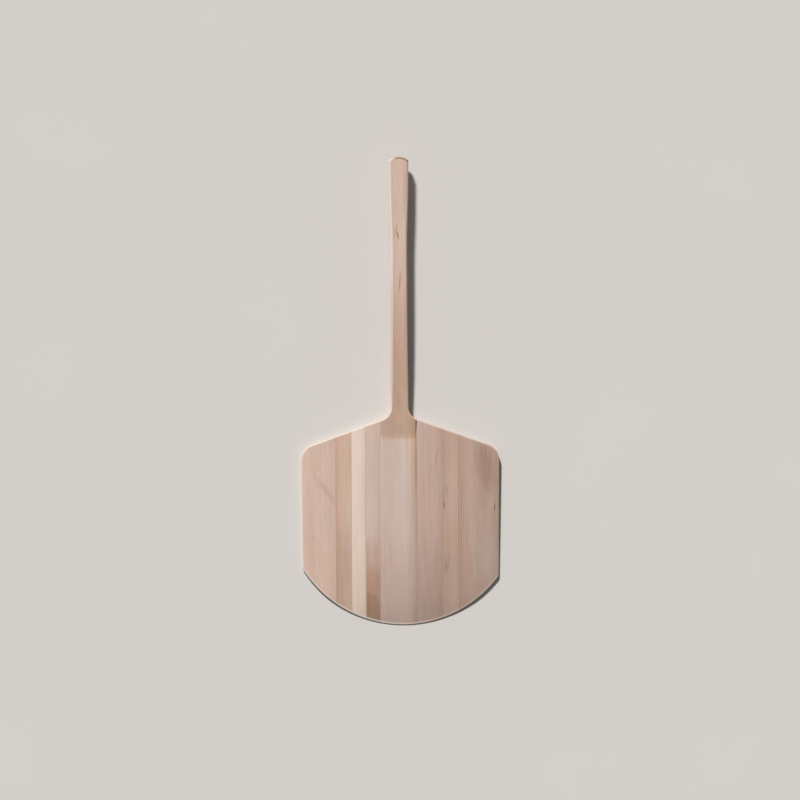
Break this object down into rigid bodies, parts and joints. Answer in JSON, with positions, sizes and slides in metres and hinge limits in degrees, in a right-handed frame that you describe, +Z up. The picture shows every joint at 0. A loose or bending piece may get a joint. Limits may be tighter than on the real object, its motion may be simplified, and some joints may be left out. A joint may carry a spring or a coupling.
{
  "type": "pizza peel",
  "caption": "Flat wooden pizza peel with a thin wedge-shaped blade of edge-glued boards, a curved front edge, sloping shoulders and a long raised handle.",
  "frame": {"origin": "middle of the footprint, on the plane of the blade's flat underside", "axes": "+Y along the handle, away from the blade; +Z up, out of the blade's working face; +X to the right when the peel is seen from above with its handle pointing away"},
  "size_m": [0.453, 1.0668, 0.038],
  "materials": {
    "cream_wood": "bare sanded hardwood, near white, satin-matte",
    "beige_wood": "bare sanded hardwood, greyish beige, satin-matte",
    "rosy_wood": "bare sanded hardwood, pinkish tan, satin-matte",
    "tan_wood": "bare sanded hardwood, yellowish tan, satin-matte",
    "brown_wood": "bare sanded hardwood, light brown, satin-matte",
    "wood_glue": "dried wood glue sanded flush"
  },
  "bodies": {
    "root": {"left_stave_4": "rosy_wood", "left_stave_3": "tan_wood", "left_stave_2": "cream_wood", "left_stave_1": "beige_wood", "handle_board": "beige_wood", "right_stave_1": "rosy_wood", "right_stave_2": "rosy_wood", "right_stave_3": "rosy_wood", "right_stave_4": "brown_wood", "left_glue_line_1": "wood_glue", "left_glue_line_2": "wood_glue", "left_glue_line_3": "wood_glue", "left_glue_line_4": "wood_glue", "right_glue_line_1": "wood_glue", "right_glue_line_2": "wood_glue", "right_glue_line_3": "wood_glue", "right_glue_line_4": "wood_glue"}
  },
  "joints": []
}
